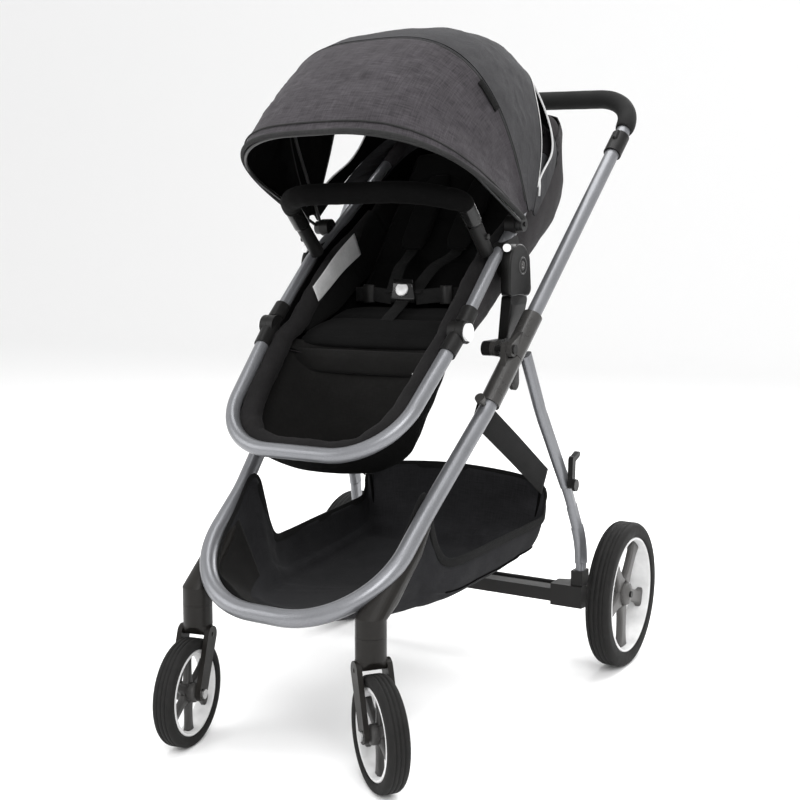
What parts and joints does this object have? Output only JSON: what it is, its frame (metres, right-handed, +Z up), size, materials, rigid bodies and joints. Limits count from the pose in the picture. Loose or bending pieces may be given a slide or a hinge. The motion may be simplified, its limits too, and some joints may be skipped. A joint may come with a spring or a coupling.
{
  "type": "baby stroller",
  "caption": "Folding baby stroller with a U-shaped tube frame, a reclining seat, a hinged footrest, a padded arm bar, a folding canopy and a sling basket.",
  "frame": {"origin": "on the ground, under the middle of the stroller's length and width", "axes": "+Z up, the stroller faces -Y (the child looks along -Y), +X is the stroller's own left side"},
  "size_m": [0.632, 0.9154, 1.1336],
  "materials": {
    "frame_silver": "satin grey powder coat",
    "casting_grey": "satin moulded plastic",
    "front_tyre": "moulded foam rubber with a fine ribbed tread",
    "rear_tyre": "moulded foam rubber with a block tread",
    "front_rim": "white barrel with dark grey spokes",
    "rear_rim": "white barrel with warm grey spokes",
    "steel": "brushed",
    "sleeve_black": "dark warm grey satin",
    "plastic_black": "black, lightly textured",
    "trigger_black": "black",
    "beam_black": "black, lightly textured",
    "foam_grip": "closed-cell foam",
    "armbar_foam": "foam under a stitched cover",
    "button_white": "white",
    "bow_black": "black coated spring wire",
    "shell_fabric": "coarse woven canvas",
    "footwell_fabric": "coarse woven canvas",
    "pad_fabric": "padded, channel stitched",
    "webbing": "woven polyester webbing",
    "canopy_fabric": "heathered woven canvas",
    "basket_fabric": "ripstop nylon"
  },
  "bodies": {
    "chassis": {"front_frame_tube": "frame_silver", "leg_castings": "casting_grey", "frame_sleeves": "sleeve_black", "fold_pivot_pins": "steel", "accessory_stud": "sleeve_black", "seat_posts": "plastic_black", "basket": "basket_fabric"},
    "caster_left": {"caster_fork_left": "casting_grey", "front_axle_left": "steel"},
    "caster_right": {"caster_fork_right": "casting_grey", "front_axle_right": "steel"},
    "front_wheel_left": {"front_tyre_left": "front_tyre", "front_rim_left": "front_rim"},
    "front_wheel_right": {"front_tyre_right": "front_tyre", "front_rim_right": "front_rim"},
    "handle": {"handle_sleeves": "sleeve_black", "handle_tube": "frame_silver", "foam_grip": "foam_grip"},
    "fold_trigger_left": {"fold_trigger_left": "trigger_black"},
    "fold_trigger_right": {"fold_trigger_right": "trigger_black"},
    "rear_frame": {"rear_leg_left": "frame_silver", "rear_leg_right": "frame_silver", "rear_hinge_plates": "sleeve_black", "rear_axle_beam": "beam_black", "rear_axle_shaft": "steel", "latch_studs": "plastic_black"},
    "rear_wheel_left": {"rear_tyre_left": "rear_tyre", "rear_rim_left": "rear_rim"},
    "rear_wheel_right": {"rear_tyre_right": "rear_tyre", "rear_rim_right": "rear_rim"},
    "brake_pedal": {"brake_pedal": "beam_black"},
    "frame_latch": {"frame_latch": "plastic_black"},
    "seat_mount": {"seat_adapters": "plastic_black", "recline_pivot_pins": "steel"},
    "seat_release_button_left": {"seat_release_button_left": "button_white"},
    "seat_release_button_right": {"seat_release_button_right": "button_white"},
    "seat": {"seat_frame_tube": "frame_silver", "seat_hubs": "plastic_black", "footrest_hinge_housings": "plastic_black", "footrest_pivot_pins": "steel", "seat_shell": "shell_fabric", "seat_pad": "pad_fabric", "footwell_cover": "footwell_fabric", "harness": "webbing", "armbar_sockets": "plastic_black", "canopy_mounts": "plastic_black", "canopy_pivot_pins": "steel"},
    "recline_lever": {"recline_lever": "plastic_black"},
    "footrest": {"footrest_sockets": "plastic_black", "footrest_tube": "frame_silver"},
    "footrest_button_left": {"footrest_button_left": "button_white"},
    "footrest_button_right": {"footrest_button_right": "button_white"},
    "buckle_button": {"buckle_button": "button_white"},
    "armbar": {"armbar": "armbar_foam"},
    "armbar_button_left": {"armbar_button_left": "plastic_black"},
    "armbar_button_right": {"armbar_button_right": "plastic_black"},
    "canopy_front": {"canopy_front_bow": "bow_black", "canopy_front_panel": "canopy_fabric"},
    "canopy_middle": {"canopy_middle_bow": "bow_black", "canopy_rear_panel": "canopy_fabric"}
  },
  "joints": [
    {"name": "caster_swivel_left", "type": "hinge", "parent": "chassis", "child": "caster_left", "pos_m": [0.16, -0.33831, 0.181], "axis": [0, 0, 1], "continuous": true},
    {"name": "caster_swivel_right", "type": "hinge", "parent": "chassis", "child": "caster_right", "pos_m": [-0.16, -0.33831, 0.181], "axis": [0, 0, 1], "continuous": true},
    {"name": "front_wheel_spin_left", "type": "hinge", "parent": "caster_left", "child": "front_wheel_left", "pos_m": [0.18916, -0.36109, 0.083], "axis": [0.6157, 0.788, 0], "continuous": true},
    {"name": "front_wheel_spin_right", "type": "hinge", "parent": "caster_right", "child": "front_wheel_right", "pos_m": [-0.15243, -0.37453, 0.083], "axis": [0.9789, 0.2045, 0], "continuous": true},
    {"name": "handle_fold", "type": "hinge", "parent": "chassis", "child": "handle", "pos_m": [0, -0.00436, 0.60494], "axis": [1, 0, 0], "range_deg": [0, 150]},
    {"name": "rear_fold", "type": "hinge", "parent": "chassis", "child": "rear_frame", "pos_m": [0, -0.00436, 0.60494], "axis": [1, 0, 0], "range_deg": [-40, 0]},
    {"name": "fold_trigger_left_pull", "type": "slide", "parent": "handle", "child": "fold_trigger_left", "axis": [0.1093, 0.6515, 0.7507], "range_m": [0, 0.008], "stiffness_N_per_m": 400},
    {"name": "fold_trigger_right_pull", "type": "slide", "parent": "handle", "child": "fold_trigger_right", "axis": [-0.1093, 0.6515, 0.7507], "range_m": [0, 0.008], "stiffness_N_per_m": 400},
    {"name": "rear_wheel_spin_left", "type": "hinge", "parent": "rear_frame", "child": "rear_wheel_left", "pos_m": [0.294, 0.32469, 0.133], "axis": [1, 0, 0], "continuous": true},
    {"name": "rear_wheel_spin_right", "type": "hinge", "parent": "rear_frame", "child": "rear_wheel_right", "pos_m": [-0.294, 0.32469, 0.133], "axis": [1, 0, 0], "continuous": true},
    {"name": "brake_pedal_press", "type": "hinge", "parent": "rear_frame", "child": "brake_pedal", "pos_m": [0, 0.26769, 0.136], "axis": [1, 0, 0], "range_deg": [-15, 0]},
    {"name": "frame_latch_turn", "type": "hinge", "parent": "rear_frame", "child": "frame_latch", "pos_m": [0.2405, 0.20169, 0.352], "axis": [1, 0, 0], "range_deg": [0, 60]},
    {"name": "seat_lift", "type": "slide", "parent": "chassis", "child": "seat_mount", "axis": [0, 0, 1], "range_m": [0, 0.06]},
    {"name": "seat_release_left_press", "type": "slide", "parent": "seat_mount", "child": "seat_release_button_left", "axis": [0, 1, 0], "range_m": [0, 0.003], "stiffness_N_per_m": 700},
    {"name": "seat_release_right_press", "type": "slide", "parent": "seat_mount", "child": "seat_release_button_right", "axis": [0, 1, 0], "range_m": [0, 0.003], "stiffness_N_per_m": 700},
    {"name": "seat_recline", "type": "hinge", "parent": "seat_mount", "child": "seat", "pos_m": [0, 0.05969, 0.741], "axis": [1, 0, 0], "range_deg": [-20, 0]},
    {"name": "recline_lever_squeeze", "type": "hinge", "parent": "seat", "child": "recline_lever", "pos_m": [0, 0.32969, 1.008], "axis": [1, 0, 0], "range_deg": [0, 20], "stiffness_Nm_per_rad": 0.6},
    {"name": "footrest_fold", "type": "hinge", "parent": "seat", "child": "footrest", "pos_m": [0, -0.11031, 0.637], "axis": [1, 0, 0], "range_deg": [-40, 0], "deforming": ["footwell_cover"]},
    {"name": "footrest_button_left_press", "type": "slide", "parent": "seat", "child": "footrest_button_left", "axis": [-1, 0, 0], "range_m": [0, 0.003], "stiffness_N_per_m": 700},
    {"name": "footrest_button_right_press", "type": "slide", "parent": "seat", "child": "footrest_button_right", "axis": [1, 0, 0], "range_m": [0, 0.003], "stiffness_N_per_m": 700},
    {"name": "buckle_button_press", "type": "slide", "parent": "seat", "child": "buckle_button", "axis": [0, 0.943, -0.3328], "range_m": [0, 0.002], "stiffness_N_per_m": 600},
    {"name": "armbar_pull", "type": "slide", "parent": "seat", "child": "armbar", "axis": [0, -0.7071, 0.7071], "range_m": [0, 0.03]},
    {"name": "armbar_button_left_press", "type": "slide", "parent": "seat", "child": "armbar_button_left", "axis": [-1, 0, 0], "range_m": [0, 0.0025], "stiffness_N_per_m": 600},
    {"name": "armbar_button_right_press", "type": "slide", "parent": "seat", "child": "armbar_button_right", "axis": [1, 0, 0], "range_m": [0, 0.0025], "stiffness_N_per_m": 600},
    {"name": "canopy_middle_fold", "type": "hinge", "parent": "seat", "child": "canopy_middle", "pos_m": [0, 0.06669, 0.806], "axis": [1, 0, 0], "range_deg": [-66, 0], "deforming": ["canopy_rear_panel"]},
    {"name": "canopy_front_fold", "type": "hinge", "parent": "canopy_middle", "child": "canopy_front", "pos_m": [0, 0.06669, 0.806], "axis": [1, 0, 0], "range_deg": [-34, 0], "deforming": ["canopy_front_panel"]}
  ],
  "couplings": [
    {"joint": "rear_fold", "follows": "handle_fold", "ratio": -0.2666},
    {"joint": "canopy_front_fold", "follows": "canopy_middle_fold", "ratio": 0.515}
  ]
}
